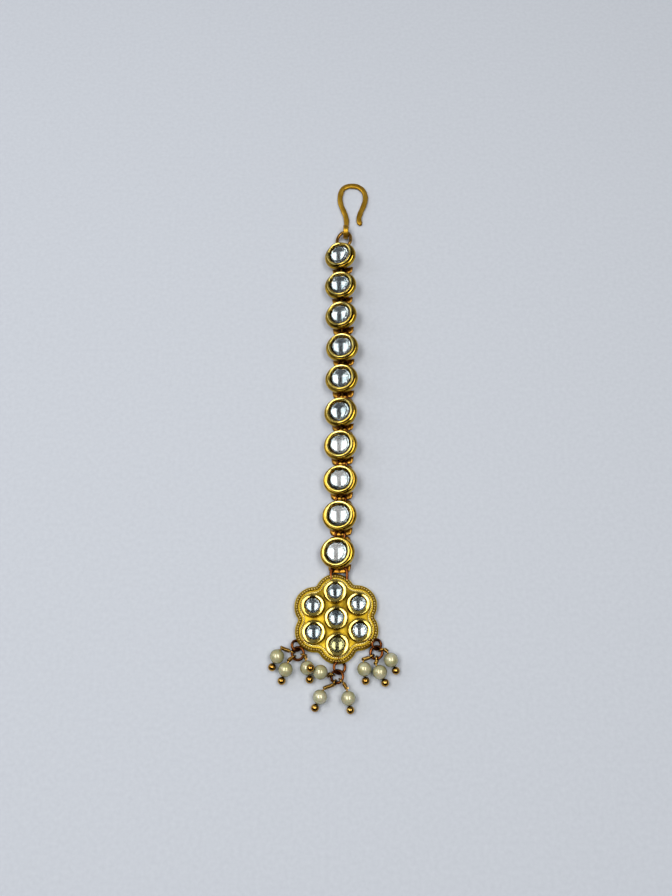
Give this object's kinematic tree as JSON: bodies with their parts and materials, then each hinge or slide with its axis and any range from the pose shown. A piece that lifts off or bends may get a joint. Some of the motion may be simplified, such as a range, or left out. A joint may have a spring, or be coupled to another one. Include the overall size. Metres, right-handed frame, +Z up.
{
  "type": "maang tikka",
  "caption": "Forehead ornament lying flat: hair hook, chain of round stone-set links, petalled flower pendant set with stones, and pearl drops on ball-ended pins.",
  "frame": {"origin": "on the resting surface under the centre of the bounding box", "axes": "+Y along the chain from the drops to the hook, +X to the right seen from the face, +Z up out of the face"},
  "size_m": [0.034, 0.1588, 0.0063],
  "materials": {
    "gold_plate": "polished gold plate, darkened in the recesses",
    "hook_gold": "duller gold plate on flattened wire",
    "ring_gold": "polished wire with a reddish gold plate",
    "clear_glass": "cut and foil-backed",
    "pearl": "pearly lacquer"
  },
  "bodies": {
    "root": {"hair_hook": "hook_gold", "hook_ring": "ring_gold", "flower_pendant": "gold_plate", "link_setting_1": "gold_plate", "link_stone_1": "clear_glass", "link_setting_2": "gold_plate", "link_stone_2": "clear_glass", "link_setting_3": "gold_plate", "link_stone_3": "clear_glass", "link_setting_4": "gold_plate", "link_stone_4": "clear_glass", "link_setting_5": "gold_plate", "link_stone_5": "clear_glass", "link_setting_6": "gold_plate", "link_stone_6": "clear_glass", "link_setting_7": "gold_plate", "link_stone_7": "clear_glass", "link_setting_8": "gold_plate", "link_stone_8": "clear_glass", "link_setting_9": "gold_plate", "link_stone_9": "clear_glass", "link_setting_10": "gold_plate", "link_stone_10": "clear_glass", "link_ring_1": "ring_gold", "link_ring_2": "ring_gold", "link_ring_3": "ring_gold", "link_ring_4": "ring_gold", "link_ring_5": "ring_gold", "link_ring_6": "ring_gold", "link_ring_7": "ring_gold", "link_ring_8": "ring_gold", "link_ring_9": "ring_gold", "flower_stone_centre": "clear_glass", "flower_stone_1": "clear_glass", "flower_stone_2": "clear_glass", "flower_stone_3": "clear_glass", "flower_stone_4": "clear_glass", "flower_stone_5": "clear_glass", "flower_stone_6": "clear_glass", "drop_ring_left": "ring_gold", "drop_ring_middle": "ring_gold", "drop_ring_right": "ring_gold", "headpin_left_outer": "ring_gold", "pearl_left_outer": "pearl", "headpin_left_inner": "ring_gold", "pearl_left_inner": "pearl", "headpin_left_near": "ring_gold", "pearl_left_near": "pearl", "headpin_middle_high": "ring_gold", "pearl_middle_high": "pearl", "headpin_middle_left": "ring_gold", "pearl_middle_left": "pearl", "headpin_middle_right": "ring_gold", "pearl_middle_right": "pearl", "headpin_right_near": "ring_gold", "pearl_right_near": "pearl", "headpin_right_inner": "ring_gold", "pearl_right_inner": "pearl", "headpin_right_outer": "ring_gold", "pearl_right_outer": "pearl"}
  },
  "joints": []
}
